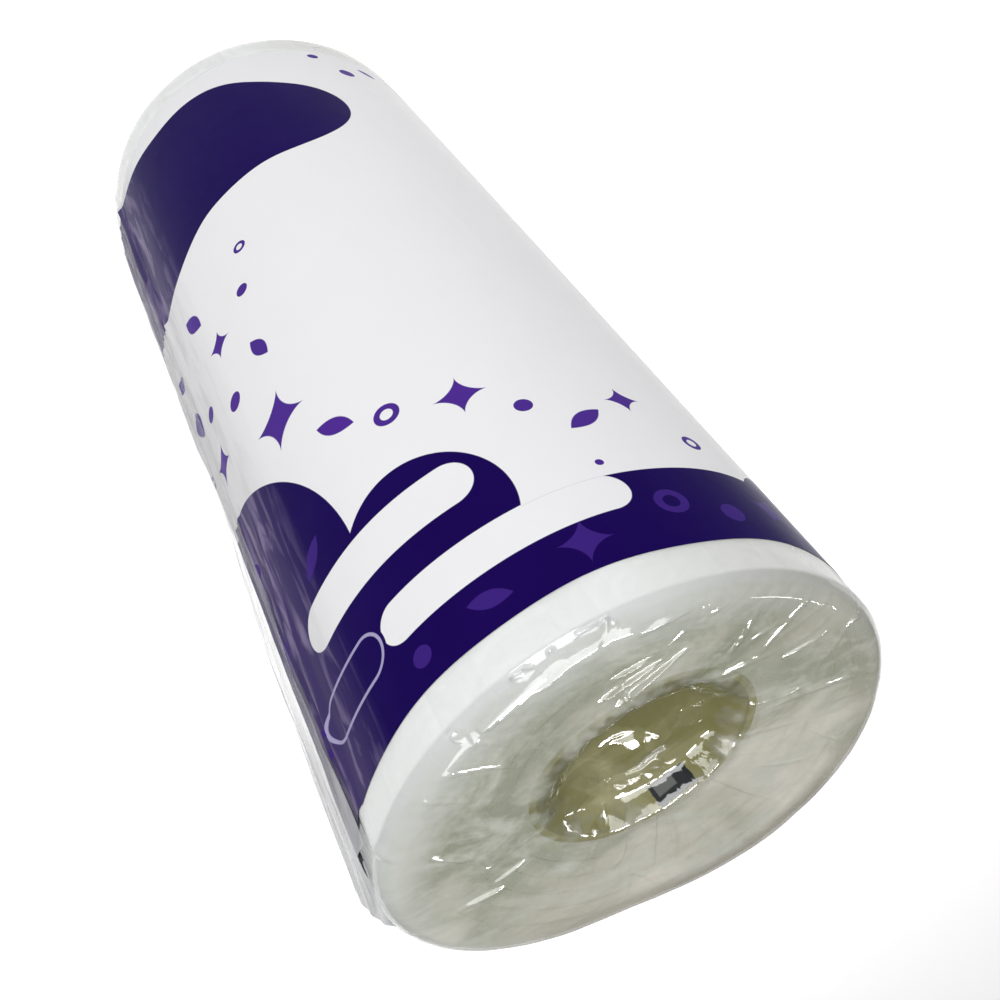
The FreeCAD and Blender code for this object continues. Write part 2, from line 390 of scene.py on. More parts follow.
# Flat facets that lie so as to throw the narrow lamp's light at the camera: start, end, half width
GLINT_FACETS = (
    ((20.8, -44.6), (36.5, -34.4), 1.2), ((20.8, -44.8), (31.4, -42.3), 0.55),
    ((30.6, -42.9), (34.0, -40.4), 1.0), ((20.9, -45.6), (23.9, -46.5), 0.4),
    ((18.3, -47.9), (13.7, -48.7), 0.9), ((12.6, -50.0), (14.3, -45.2), 0.45),
    ((11.4, -49.2), (11.8, -47.4), 0.4), ((12.2, -50.4), (7.8, -49.8), 0.4),
    ((12.8, -31.4), (3.3, -36.2), 0.4), ((7.9, -29.8), (-0.2, -35.9), 0.4),
    ((-4.3, -44.0), (-9.2, -46.1), 0.4), ((3.2, -39.0), (-2.2, -42.9), 0.45),
    ((-5.5, -15.5), (-11.3, -15.0), 0.55), ((-9.0, -9.1), (-11.6, -8.8), 0.7),
    ((10.9, -12.8), (8.4, -14.4), 0.4), ((8.6, -14.2), (3.7, -14.4), 0.4),
    ((12.9, -10.6), (11.2, -8.1), 0.6), ((9.6, -4.9), (7.6, 0.4), 0.4),
    ((0.6, 1.6), (-1.6, 5.8), 0.4), ((9.1, 6.8), (9.1, 10.4), 0.5),
    ((11.9, 9.3), (11.8, 11.9), 0.5), ((-10.2, 2.0), (-15.0, -0.6), 0.35),
    ((-39.2, -27.6), (-41.6, -29.7), 0.6), ((36.3, 7.0), (34.9, 9.3), 0.6),
    ((40.9, -33.0), (37.9, -32.2), 0.4), ((-15.3, -49.4), (-19.3, -48.0), 0.4),
)
FACET_RISE = 0.1            # of a facet's middle above the film round it
GATHER_COUNT = 36

# Heights of the relief, by the size of its facets
PLEAT_HEIGHT = 0.34
FINE_PLEAT_HEIGHT = 0.10
CELL_HEIGHT = 0.30
CRUMPLE_HEIGHT = 0.95
SMALL_CRUMPLE_HEIGHT = 0.25
GATHER_SHARE = 0.6


def mirror_normal(place):
    """Direction that film faces where it mirrors the narrow lamp to the camera."""
    place = Vector(place) * MM
    return np.array(((EYE - place).normalized() + (GLINT_LAMP - place).normalized()).normalized())


def beside_line(x, y, start, end):
    """Share of the way along a line in plan, distance to its side, and its length."""
    dx = end[0] - start[0]
    dy = end[1] - start[1]
    length = math.hypot(dx, dy)
    along = ((x - start[0]) * dx + (y - start[1]) * dy) / length ** 2
    across = ((x - start[0]) * dy - (y - start[1]) * dx) / length
    return along, across, length


def with_facets(off, base, outward):
    """The film's height off its base, with the glinting facets let into it, pointed at both ends."""
    x = base[..., 0]
    y = base[..., 1]
    for start, end, half_wide in GLINT_FACETS:
        along, across, length = beside_line(x, y, start, end)
        narrowing = np.sqrt(np.clip(4 * along * (1 - along), 0, 1))
        nearest = np.unravel_index(np.argmin(np.abs(along - 0.5) * length + np.abs(across)), x.shape)
        middle = base[nearest] + outward[nearest] * (off[nearest] + FACET_RISE)
        normal = mirror_normal(middle)
        facet = ((middle - base) @ normal) / np.maximum(outward @ normal, 0.2)
        held = (np.abs(across) < half_wide * narrowing) & (outward[..., 2] > 0.4)
        off = np.where(held, np.clip(facet, 0.05, 3.0), off)
    return off


def fold(x, y, start, end, height, width, lean=0.5, bend=0.0):
    """A crease that stands up along a line in plan, with a round crest and one steeper side."""
    along, off, _ = beside_line(x, y, start, end)
    off = off + bend * np.sin(np.clip(along, 0, 1) * math.pi)
    wide = np.where(off > 0, width * 2 * lean, width * 2 * (1 - lean))
    taper = np.clip(np.minimum(along, 1 - along) * 3, 0, 1)
    return height * taper * (0.5 + 0.5 * np.cos(np.clip(off / wide, -1, 1) * math.pi))


def from_core(distance, angle):
    return CORE_X + distance * math.cos(angle), CORE_Y + distance * math.sin(angle)


def gathers(x, y):
    """Long folds that run from the core's mouth towards the rim and over it."""
    rng = np.random.default_rng(31)
    total = 0 * x
    for _ in range(GATHER_COUNT):
        angle = rng.uniform(0, 2 * math.pi)
        turn = angle + rng.normal(0, 0.16)
        start = rng.uniform(14, 40)
        end = start + rng.uniform(10, 34)
        height = 0.06 + 0.45 * rng.uniform(0, 1) ** 2
        width = rng.uniform(0.6, 1.2)
        lean = rng.uniform(0.2, 0.8)
        bend = rng.uniform(-2.0, 2.0)
        first = from_core(start, angle)
        last = from_core(end, turn)
        total = np.maximum(total, fold(x, y, first, last, height, width, lean, bend))
    return total


def creased(u, v, across, seed):
    """Facets between 0 and 1 high."""
    return facets(u, v, across, seed) * 0.5 + 0.5


def end_relief(x, y, path):
    """Height of the crumpled clear film above where it would lie smooth over an end."""
    angle = np.arctan2(y - CORE_Y, x - CORE_X) / (2 * math.pi)
    away = np.hypot(x - CORE_X, y - CORE_Y)
    warp_u = 0.45 * swells(x, y, 19, 3)
    warp_v = 0.45 * swells(x, y, 23, 4)
    pleats = creased(angle * 30 + warp_u, path / 21 + warp_v, 30, 21)
    fine = creased(angle * 66 + 2 * warp_v, path / 10 + warp_u, 66, 22)
    cells = creased(x / 7.5 + warp_u, y / 7.5 + warp_v + 9, PATTERN_CELLS, 23)
    crumple = creased(x / 4.2 + 0.7 * warp_u, y / 4.2 + 0.7 * warp_v + 20, PATTERN_CELLS, 24)
    small = creased(x / 2.1 + warp_v, y / 2.1 - warp_u + 30, PATTERN_CELLS, 25)
    over_mouth = window(away, 0, 17, 9)
    beyond_mouth = 1 - window(away, 0, 4, 14)
    height = beyond_mouth * (PLEAT_HEIGHT * pleats + FINE_PLEAT_HEIGHT * fine) + CELL_HEIGHT * cells
    height = height + over_mouth * (CRUMPLE_HEIGHT * crumple + SMALL_CRUMPLE_HEIGHT * small)
    height = height + GATHER_SHARE * gathers(x, y)
    for start, end, rise, width in SHOWN_FOLDS:
        height = height + fold(x, y, start, end, rise, width)
    return height


# How milky the clear film is

MOUTH_STRIPS = 26           # strips of doubled film over the core's mouth
MOUTH_STRIPS_BACK = 3.0     # how far behind the mouth's middle they lie
MOUTH_STRIPS_REACH = 8.0


def plies(u, v, across, seed):
    """Overlapping layers of film: flat patches with crisp edges, each as milky as chance makes it."""
    rng = np.random.default_rng(seed)
    shades = rng.uniform(0, 1, (across, PATTERN_CELLS))
    return shades[np.floor(u).astype(int) % across, np.floor(v).astype(int) % PATTERN_CELLS]


def doubled_strips(x, y):
    """Extra layers of film over the mouth: straight strips, folded over one another."""
    rng = np.random.default_rng(44)
    total = 0 * x
    for _ in range(MOUTH_STRIPS):
        angle = rng.uniform(0, math.pi)
        off_x = x - CORE_X - rng.normal(0, MOUTH_STRIPS_REACH)
        off_y = y - (CORE_Y + MOUTH_STRIPS_BACK) - rng.normal(0, MOUTH_STRIPS_REACH)
        half_long = rng.uniform(3, 10)
        half_wide = rng.uniform(0.8, 3.2)
        along = np.abs(off_x * math.cos(angle) + off_y * math.sin(angle))
        across = np.abs(off_y * math.cos(angle) - off_x * math.sin(angle))
        strip = window(along, -1, half_long, 0.9) * window(across, -1, half_wide, 0.5)
        total = total + strip * rng.uniform(0.4, 1.0)
    return total


def mouth_radius(angle):
    across = np.cos(angle - MOUTH_TURN) / MOUTH_LONG
    down = np.sin(angle - MOUTH_TURN) / MOUTH_SHORT
    return 1 / np.hypot(across, down)


def milkiness(x, y, path):
    """How milky the film is, 0 to 1, and how much of the mouth's look a place has."""
    angle = np.arctan2(y - CORE_Y, x - CORE_X) / (2 * math.pi)
    away = np.hypot(x - CORE_X, y - CORE_Y)
    warp = 0.5 * swells(x, y, 17, 5)
    layers = 0.6 * plies(angle * 23 + warp, path / 26 + 0.3 * warp, 23, 41)
    layers += 0.4 * plies(angle * 41 - warp, path / 13 + warp, 41, 42)
    on_end = 0.66 + 0.22 * layers + 0.14 * swells(x, y, 30, 6)
    back_part = window(y - CORE_Y + 0.25 * (x - CORE_X), 9, 60, 13)
    back_part = back_part * np.exp(-((x - CORE_X + 2) / 15) ** 2)
    over_mouth = 0.20 * doubled_strips(x, y) + 0.40 * back_part + 0.10 * swells(x, y, 5, 9)
    over_mouth = np.clip(over_mouth, 0, 1)
    ragged = 0.17 * swells(x, y, 8, 7) + 0.09 * swells(x, y, 3.2, 8)
    within = window(away / mouth_radius(angle * 2 * math.pi) + ragged, -1, 0.78, 0.36)
    return np.clip(on_end + (over_mouth - on_end) * within, 0, 1), within


# Clear ends. A row of points has its x, y and depth, its outward direction in three numbers, its
# slack, its run along the film from under the print's edge, and its share of the relief

def side_rows(arcs, x, y, nx, ny):
    """Rows up the side, from under the print's edge to the round corner."""
    rows = []
    for share in np.linspace(0, 1, RIM_ROWS, endpoint=False):
        depth = PRINT_TOP + UNDER_PRINT - SIDE_LENGTH * share
        shown = max(0.0, (PRINT_TOP - depth) / (PRINT_TOP - EDGE_RADIUS))
        slack = side_slack(arcs, depth)
        rows.append((x, y, depth, nx, ny, 0, slack, SIDE_LENGTH * share, RIM_RELIEF * shown))
    return rows


def corner_rows(arcs, x, y, nx, ny):
    """Rows over the round corner."""
    rows = []
    for share in np.linspace(0, 1, SHOULDER_ROWS, endpoint=False):
        turn = share * math.pi / 2
        inset = EDGE_RADIUS * (1 - math.cos(turn))
        depth = EDGE_RADIUS * (1 - math.sin(turn))
        slack = side_slack(arcs, depth) * math.cos(turn)
        run = SIDE_LENGTH + CORNER_LENGTH * share
        rows.append((x - nx * inset, y - ny * inset, depth,
                     nx * math.cos(turn), ny * math.cos(turn), math.sin(turn),
                     slack, run, RIM_RELIEF + (1 - RIM_RELIEF) * share ** 2))
    return rows


def flat_rows(rim_x, rim_y):
    """Rows from the round corner over the end to its middle, sinking over the core's mouth."""
    rows = []
    for share in 1 - np.linspace(0, 0.985, END_ROWS) ** 0.92:
        x = CORE_X + (rim_x - CORE_X) * share
        y = CORE_Y + (rim_y - CORE_Y) * share
        away = np.hypot(x - CORE_X, y - CORE_Y)
        mouth = mouth_radius(np.arctan2(y - CORE_Y, x - CORE_X))
        sink = window(away / mouth, -1, DIP_FLOOR, DIP_SLOPE)
        depth = DIP_DEPTH * sink - BUNCH_HEIGHT * np.exp(-(away / BUNCH_RADIUS) ** 2)
        run = SIDE_LENGTH + CORNER_LENGTH + np.hypot(rim_x - x, rim_y - y)
        rows.append((x, y, depth, 0, 0, 1, 0, run, 1))
    return rows


def by_figure(rows):
    """An array for each of a row's figures, with every figure repeated for every column."""
    return [np.stack([np.broadcast_to(np.asarray(figure, float), (COLUMNS,)) for figure in figures])
            for figures in zip(*rows)]


def clear_end(relief, highest, glinting):
    """Clear film from under the print's edge over the round corner and the end to the middle."""
    arcs = np.linspace(-GIRTH / 2, GIRTH / 2, COLUMNS, endpoint=False)
    x, y, nx, ny = section(arcs)
    rows = side_rows(arcs, x, y, nx, ny) + corner_rows(arcs, x, y, nx, ny)
    rows += flat_rows(x - nx * EDGE_RADIUS, y - ny * EDGE_RADIUS)
    x, y, depth, out_x, out_y, out_z, slack, path, share = by_figure(rows)
    base = np.stack([x, y, HEIGHT - depth], axis=-1)
    outward = np.stack([out_x, out_y, out_z], axis=-1)
    off = slack + np.minimum(end_relief(x, y, path) * relief * share, highest)
    if glinting:
        off = with_facets(off, base, outward)
    points = base + outward * off[..., None]
    milk, within = milkiness(x, y, path)
    return points, np.stack([x, y, depth], axis=-1), np.stack([milk, path, within], axis=-1)


def top_end():
    points, plans, films = clear_end(1.0, TOP_HIGHEST, True)
    half = EDGE_RADIUS / 2
    points[..., 2] -= TOP_SETTLE * window(points[..., 2], HEIGHT - half, HEIGHT * 2, half)
    return grid_mesh("wrap_end_top", points, True, {"plan": plans, "film": films}, fill_end=True)


def foot_end():
    """The same film at the foot, pressed flat between the web and what the roll stands on."""
    points, plans, films = clear_end(FOOT_RELIEF, FOOT_HIGHEST, False)
    points[..., 2] = np.maximum(HEIGHT - points[..., 2] + FOOT_LIFT, FOOT_CLEAR)
    spots = {"plan": plans[:, ::-1], "film": films[:, ::-1]}
    return grid_mesh("wrap_end_foot", points[:, ::-1], True, spots, fill_end=True)


# Materials

class Field:
    """A number that varies over a surface. Sums and products of fields add nodes to its material."""

    def __init__(self, tree, socket):
        self.tree = tree
        self.socket = socket

    def calc(self, operation, *others):
        node = self.tree.nodes.new("ShaderNodeMath")
        node.operation = operation
        self.tree.links.new(self.socket, node.inputs[0])
        for place, other in enumerate(others, start=1):
            if isinstance(other, Field):
                self.tree.links.new(other.socket, node.inputs[place])
            else:
                node.inputs[place].default_value = other
        return Field(self.tree, node.outputs[0])

    def __add__(self, other):
        return self.calc("ADD", other)

    def __sub__(self, other):
        return self.calc("SUBTRACT", other)

    def __mul__(self, other):
        return self.calc("MULTIPLY", other)

    def __truediv__(self, other):
        return self.calc("DIVIDE", other)

    def __abs__(self):
        return self.calc("ABSOLUTE")

    def most(self, other):
        return self.calc("MAXIMUM", other)

    def least(self, other):
        return self.calc("MINIMUM", other)

    def power(self, other):
        return self.calc("POWER", other)

    def clamped(self):
        made = self.calc("ADD", 0.0)
        made.socket.node.use_clamp = True
        return made

    def inside(self, soft):
        """1 where this distance is under 0, with an edge as wide as the soft length."""
        return (self * (-1 / soft) + 0.5).clamped()

    def near(self, number):
        return self.calc("COMPARE", number, 0.5)


def new_material(name, roughness, **sockets):
    made = bpy.data.materials.new(name)
    made.use_nodes = True
    shader = made.node_tree.nodes["Principled BSDF"]
    shader.inputs["Roughness"].default_value = roughness
    for socket, value in sockets.items():
        shader.inputs[socket.replace("_", " ")].default_value = value
    return made, made.node_tree, shader


def split(tree, vector):
    """The three numbers of a vector socket, as fields."""
    node = tree.nodes.new("ShaderNodeSeparateXYZ")
    tree.links.new(vector, node.inputs[0])
    return [Field(tree, output) for output in node.outputs]


def join(tree, x, y=None, z=None):
    node = tree.nodes.new("ShaderNodeCombineXYZ")
    for place, field in enumerate((x, y, z)):
        if field is not None:
            tree.links.new(field.socket, node.inputs[place])
    return node.outputs[0]


def attribute(tree, name):
    node = tree.nodes.new("ShaderNodeAttribute")
    node.attribute_name = name
    return node.outputs["Vector"]


def object_place(tree):
    """Place in the object's own frame, in millimetres."""
    node = tree.nodes.new("ShaderNodeTexCoord")
    scale = tree.nodes.new("ShaderNodeVectorMath")
    scale.operation = "SCALE"
    scale.inputs["Scale"].default_value = 1 / MM
    tree.links.new(node.outputs["Object"], scale.inputs[0])
    return scale.outputs[0]


def noise(tree, vector, size, detail=2.0, stretch=(1, 1, 1), distortion=0.0):
    """Noise of about 0 to 1, with lumps of the given size, longer where the stretch is over 1."""
    squeeze = tree.nodes.new("ShaderNodeVectorMath")
    squeeze.operation = "MULTIPLY"
    squeeze.inputs[1].default_value = [1 / (size * part) for part in stretch]
    tree.links.new(vector, squeeze.inputs[0])
    node = tree.nodes.new("ShaderNodeTexNoise")
    node.inputs["Scale"].default_value = 1.0
    node.inputs["Detail"].default_value = detail
    node.inputs["Distortion"].default_value = distortion
    tree.links.new(squeeze.outputs[0], node.inputs["Vector"])
    return Field(tree, node.outputs["Fac"])


def creases(tree, vector, size, warp):
    """Thin creases: distance from the borders of uneven cells."""
    shift = tree.nodes.new("ShaderNodeTexNoise")
    shift.inputs["Scale"].default_value = 1 / (size * 1.7)
    tree.links.new(vector, shift.inputs["Vector"])
    push = tree.nodes.new("ShaderNodeVectorMath")
    push.operation = "MULTIPLY_ADD"
    push.inputs[1].default_value = (warp, warp, warp)
    tree.links.new(shift.outputs["Color"], push.inputs[0])
    tree.links.new(vector, push.inputs[2])
    cells = tree.nodes.new("ShaderNodeTexVoronoi")
    cells.feature = "DISTANCE_TO_EDGE"
    cells.inputs["Scale"].default_value = 1 / size
    tree.links.new(push.outputs[0], cells.inputs["Vector"])
    return Field(tree, cells.outputs["Distance"])


def blend(tree, share, first, second):
    """The first colour where the share is 0, the second where it is 1."""
    node = tree.nodes.new("ShaderNodeMix")
    node.data_type = "RGBA"
    tree.links.new(share.socket, node.inputs["Factor"])
    for socket, colour in ((node.inputs["A"], first), (node.inputs["B"], second)):
        if isinstance(colour, tuple):
            socket.default_value = colour + (1.0,)
        else:
            tree.links.new(colour, socket)
    return node.outputs["Result"]


def bump(tree, shader, height, strength, distance):
    """Fine relief from a height field in millimetres."""
    node = tree.nodes.new("ShaderNodeBump")
    node.inputs["Strength"].default_value = strength
    node.inputs["Distance"].default_value = distance * MM
    tree.links.new(height.socket, node.inputs["Height"])
    tree.links.new(node.outputs["Normal"], shader.inputs["Normal"])


def link(field, shader, socket):
    field.tree.links.new(field.socket, shader.inputs[socket])


# Inks of the print, and the tints painted over them in the streaked stretch: painted shade on the white and
# painted sheen on the indigo
WHITE_PRINT = (0.80, 0.795, 0.81)
WHITE_PRINT_DULL = (0.78, 0.775, 0.79)
INDIGO = (0.007, 0.0005, 0.068)
INDIGO_LIGHT = (0.012, 0.003, 0.090)
VIOLET = (0.085, 0.020, 0.30)
VIOLET_DEEP = (0.050, 0.028, 0.20)
PALE_VIOLET = (0.050, 0.018, 0.21)
TAB_LINE_INK = (0.36, 0.33, 0.52)
STREAK_SHADE_GREY = (0.50, 0.495, 0.51)
STREAK_SHEEN_LILAC = (0.21, 0.17, 0.30)


def round_distance(tree, label, circle):
    middle, deep, radius = circle
    node = tree.nodes.new("ShaderNodeVectorMath")
    node.operation = "DISTANCE"
    node.inputs[1].default_value = (middle, deep, 0)
    tree.links.new(label, node.inputs[0])
    return Field(tree, node.outputs["Value"]) - radius


def pill_distance(arc, depth, middle, deep, half, radius):
    along = (abs(arc - middle) - half).most(0)
    across = depth - deep
    return (along * along + across * across).calc("SQRT") - radius


def indigo_field(tree, label, depth):
    """Distance to the indigo fields: the band with its cloud tops, and the far cloud."""
    near = depth - BAND_DEPTH
    for circle in NEAR_CLOUD:
        near = near.least(round_distance(tree, label, circle))
    far = round_distance(tree, label, FAR_CLOUD[0])
    for circle in FAR_CLOUD[1:]:
        far = far.calc("SMOOTH_MIN", round_distance(tree, label, circle), FAR_CLOUD_BLEND)
    return near.least(far)


def motif_shape(tree):
    """1 inside a motif: a dot, a four-pointed sparkle, a leaf or a ring."""
    shares = []
    for set_number in range(MOTIF_SETS):
        u, v, kind = split(tree, attribute(tree, "motif_%d" % set_number))
        away = (u * u + v * v).calc("SQRT")
        dot = away - 1
        sparkle = abs(u).power(0.62) + abs(v).power(0.62) - 1
        leaf = abs(v) - (u * u * -1 + 1) * 0.42
        ring = abs(away - 0.72) - 0.24
        for number, shape in ((DOT, dot), (SPARKLE, sparkle), (LEAF, leaf), (RING, ring)):
            shares.append(kind.near(number) * shape.inside(0.04))
    return sum(shares[1:], shares[0]).clamped()


def bare_places(arc, depth, tab):
    """1 in the band's bare places, apart from the gap round the tab."""
    pills = pill_distance(arc, depth, *PILLS[0]).least(pill_distance(arc, depth, *PILLS[1]))
    gap = (tab - TAB_GAP).inside(LINE_EDGE)
    return pills.inside(PRINT_EDGE) * (gap * -1 + 1)


def printed_material():
    """Glossy printed film: white, with indigo fields, bare pills and violet motifs."""
    made, tree, shader = new_material("printed_film", 0.22, IOR=1.3, Specular_IOR_Level=0.02)
    label = attribute(tree, "label")
    arc, depth, _ = split(tree, label)
    indigo = indigo_field(tree, label, depth).inside(PRINT_EDGE)
    tab = pill_distance(arc, depth, *TAB)
    tab_line = (abs(tab) - TAB_LINE).inside(LINE_EDGE)
    bare = bare_places(arc, depth, tab)
    motif = motif_shape(tree) * ((tab - 1).inside(0.2) * -1 + 1)
    tone = noise(tree, label, 26, 3)
    # Painted shade and sheen: the streaked stretch is greyed on the white and lightened on the indigo, most
    # along the streaks
    streaked = ((arc - STREAK_SHADING_START) / STREAK_SHADING_RISE).clamped()
    streaks = noise(tree, label, 3.4, 3, (1, 7, 1), distortion=0.7)
    streaks = (streaks * 7 - 3.4).clamped() * streaked
    white = blend(tree, tone, WHITE_PRINT_DULL, WHITE_PRINT)
    white = blend(tree, streaked * 0.35 + streaks * 0.25, white, STREAK_SHADE_GREY)
    on_white = blend(tree, motif, white, blend(tree, tone, VIOLET_DEEP, VIOLET))
    dark = blend(tree, tone, INDIGO, INDIGO_LIGHT)
    dark = blend(tree, streaks * 0.7 + streaked * 0.22, dark, STREAK_SHEEN_LILAC)
    on_indigo = blend(tree, motif * 0.8, dark, PALE_VIOLET)
    colour = blend(tree, indigo, on_white, on_indigo)
    colour = blend(tree, bare * indigo, colour, white)
    colour = blend(tree, tab_line, colour, TAB_LINE_INK)
    tree.links.new(colour, shader.inputs["Base Color"])
    long_ripples = noise(tree, label, 1.6, 3, (1, 14, 1))
    soft = noise(tree, label, 9, 2)
    link(soft * 0.10 + 0.17, shader, "Roughness")
    bump(tree, shader, long_ripples * (streaked * 0.9 + 0.10) + soft * 0.8, 0.35, 0.4)
    return made


# Stretch along the film, from the print's edge, painted whiter over the web's round corner: painted light,
# reaching farther on the front and +X side, where the key lamp is
LIT_RIM_REACH = 25.0
LIT_RIM_LEAN = 0.08
LIT_RIM_FADE = 13.0
# Painted shade on the end's far side, away from the lamps: how wide that side is, and how far along the film
# its darkened rim reaches and fades
SHADE_SIDE_SPAN = 50.0
SHADED_RIM_REACH = 26.5
SHADED_RIM_FADE = 4.0

# Tints of the clear film over the web, among them painted light, shade and reflection, and how far across
# the end the painted reflected light takes to lean from one tint to the other
FILM_GREENISH = (0.37, 0.39, 0.29)
FILM_PINKISH = (0.93, 0.87, 0.78)
FILM_MILKY = (0.72, 0.73, 0.65)
FILM_LIT_RIM = (0.88, 0.90, 0.89)
# Painted shade for the far rim and one corner of the end
FILM_PAINTED_SHADE = (0.33, 0.30, 0.24)
# Film over the core's mouth: the board's olive seen through, darkened as painted shade of the hollow, clear
# or milky
MOUTH_SHADED_OLIVE = (0.27, 0.26, 0.10)
MOUTH_SHADED_MILKY = (0.42, 0.40, 0.22)
REFLECTION_LEAN_REACH = 80.0
FILM_CLEAREST = 0.20        # how much clear film covers, single and doubled
FILM_MILKIEST = 0.78

# Register mark on the film over the core's mouth: middle, length, width, turn and inks, the paler of them a
# painted reflection
MARK_X, MARK_Y = -6.0, 6.4
MARK_LONG, MARK_WIDE = 9.0, 4.6
MARK_TURN = math.radians(30)
MARK_INK = (0.012, 0.014, 0.02)
MARK_INK_SHEEN = (0.15, 0.155, 0.15)


def film_colour(tree, place, film, broad, tiny):
    """Tint of the clear film: greenish to pinkish over the web in random clouds, with painted reflected
    light leaning by place; whiter on the rim as painted light; darker on the far rim and one corner as
    painted shade; olive in the mouth, the core seen through with the shade of its hollow painted in.
    """
    x, y, _ = split(tree, place)
    milk, path, within = film
    cloud = noise(tree, place, 36, 3, distortion=1.2)
    # Painted reflected light: the lean makes the film pinker and lighter towards +Y and -X; the cloud's
    # patches are random tone
    lean = y * (1 / REFLECTION_LEAN_REACH) - x * (0.4 / REFLECTION_LEAN_REACH)
    cloud_and_reflection_tint = blend(tree, (cloud * 3.0 - 1.2 + lean).clamped(), FILM_GREENISH, FILM_PINKISH)
    colour = blend(tree, (broad * 3.4 + tiny * 1.1 - 1.95).clamped(), cloud_and_reflection_tint, FILM_MILKY)
    # Painted light: the film over the rim is whiter, over a longer stretch on the front and +X side
    reach = (x - y) * LIT_RIM_LEAN + LIT_RIM_REACH
    rim = ((reach - path - broad * 7) * (1 / LIT_RIM_FADE)).clamped()
    colour = blend(tree, rim, colour, FILM_LIT_RIM)
    # Painted shade: darker on the rim of the +Y and -X side, and over the end's -X, -Y part
    shade_side = ((y - x * 0.6) * (1 / SHADE_SIDE_SPAN) - 0.3).clamped()
    shaded_far_rim = ((path + broad * 5) * (-1 / SHADED_RIM_FADE) + SHADED_RIM_REACH / SHADED_RIM_FADE).clamped()
    colour = blend(tree, shaded_far_rim * shade_side, colour, FILM_PAINTED_SHADE)
    shaded_corner = ((x + y) * (-1 / 30) - 1.5).clamped()
    colour = blend(tree, shaded_corner * 0.45, colour, FILM_PAINTED_SHADE)
    # Painted shade: over the mouth the film takes the dim olive of the shadowed hollow
    return blend(tree, within, colour, blend(tree, milk, MOUTH_SHADED_OLIVE, MOUTH_SHADED_MILKY))


def register_mark(tree, place, tiny):
    """1 where the mark is, and its ink, with a paler patch on it that is a painted reflection."""
    x, y, _ = split(tree, place)
    u = (x - MARK_X) * math.cos(MARK_TURN) + (y - MARK_Y) * math.sin(MARK_TURN)
    v = (y - MARK_Y) * math.cos(MARK_TURN) - (x - MARK_X) * math.sin(MARK_TURN)
    edge = (abs(u) - MARK_LONG / 2).most(abs(v) - MARK_WIDE / 2)
    # Painted reflection: a paler patch on the mark's ink
    mark_sheen = (abs(u - MARK_LONG / 7) - MARK_LONG / 4).most(abs(v + MARK_WIDE / 6) - MARK_WIDE / 4)
    ink = blend(tree, mark_sheen.inside(0.3), MARK_INK, MARK_INK_SHEEN)
    return (edge + tiny * 1.2 - 0.6).inside(0.25), ink


def clear_material(name, marked):
    """Clear crumpled film, milky where it is doubled, with a dark register mark if asked."""
    made, tree, shader = new_material(name, 0.10, IOR=1.5, Specular_IOR_Level=1.0,
                                      Coat_Weight=1.0, Coat_Roughness=0.03)
    place = attribute(tree, "plan")
    film = split(tree, attribute(tree, "film"))
    milk, _, within = film
    tiny = noise(tree, place, 1.9, 2)
    broad = noise(tree, place, 15, 4, (1.5, 1, 1), distortion=2.0)
    alpha = milk * (FILM_MILKIEST - FILM_CLEAREST) + FILM_CLEAREST + (broad - 0.5) * 0.3
    # Over the mouth the film is made nearly opaque, so that its painted shade of the hollow shows
    alpha = alpha.most(within * (milk * 0.25 + 0.68))
    colour = film_colour(tree, place, film, broad, tiny)
    if marked:
        inked, ink = register_mark(tree, place, tiny)
        colour = blend(tree, inked, colour, ink)
        alpha = alpha.most(inked * 0.95)
    tree.links.new(colour, shader.inputs["Base Color"])
    link(alpha.clamped(), shader, "Alpha")
    link(broad * 0.08 + 0.05, shader, "Roughness")
    bump(tree, shader, tiny * 0.10 + broad * (within * -0.6 + 0.7), 0.3, 0.5)
    return made


# Grey of the clear margin: partly the film's own haze, partly painted sheen
MARGIN_SHEEN_TINT = (0.50, 0.50, 0.51, 1.0)
MARGIN_CLEAREST = 0.18
MARGIN_STREAKS = 0.22       # how much its streaks cover
MARGIN_GATHERED = 0.45      # how much more it covers at the top, where it is drawn together
MARGIN_GATHERED_REACH = 60


def margin_material():
    """Clear slack film over the print, greyish and in pale streaks where it ripples:
    partly the film's haze, partly painted sheen.
    """
    made, tree, shader = new_material("clear_margin", 0.12, IOR=1.35, Specular_IOR_Level=0.3)
    label = attribute(tree, "label")
    _, depth, _ = split(tree, label)
    streaks = (noise(tree, label, 3.0, 3, (1, 9, 1), distortion=0.7) * 4.0 - 1.8).clamped()
    gathered = (depth * (-1 / MARGIN_GATHERED_REACH) + 1).clamped()
    shader.inputs["Base Color"].default_value = MARGIN_SHEEN_TINT
    link(streaks * MARGIN_STREAKS + gathered * MARGIN_GATHERED + MARGIN_CLEAREST, shader, "Alpha")
    bump(tree, shader, streaks, 0.3, 0.3)
    return made


TISSUE_SIDE = (0.86, 0.86, 0.85)
# Sawn ends: the same white tissue, painted darker and greener as painted shade, in random blotches
TISSUE_END_SHADE = (0.66, 0.68, 0.56)
TISSUE_END_PALER_SHADE = (0.82, 0.81, 0.74)
TURN_PITCH = 1.1            # from one turn of the web to the next
SAWN_STRETCH = 2.4          # stretch next to the wrap's ends where the web's ends are sawn


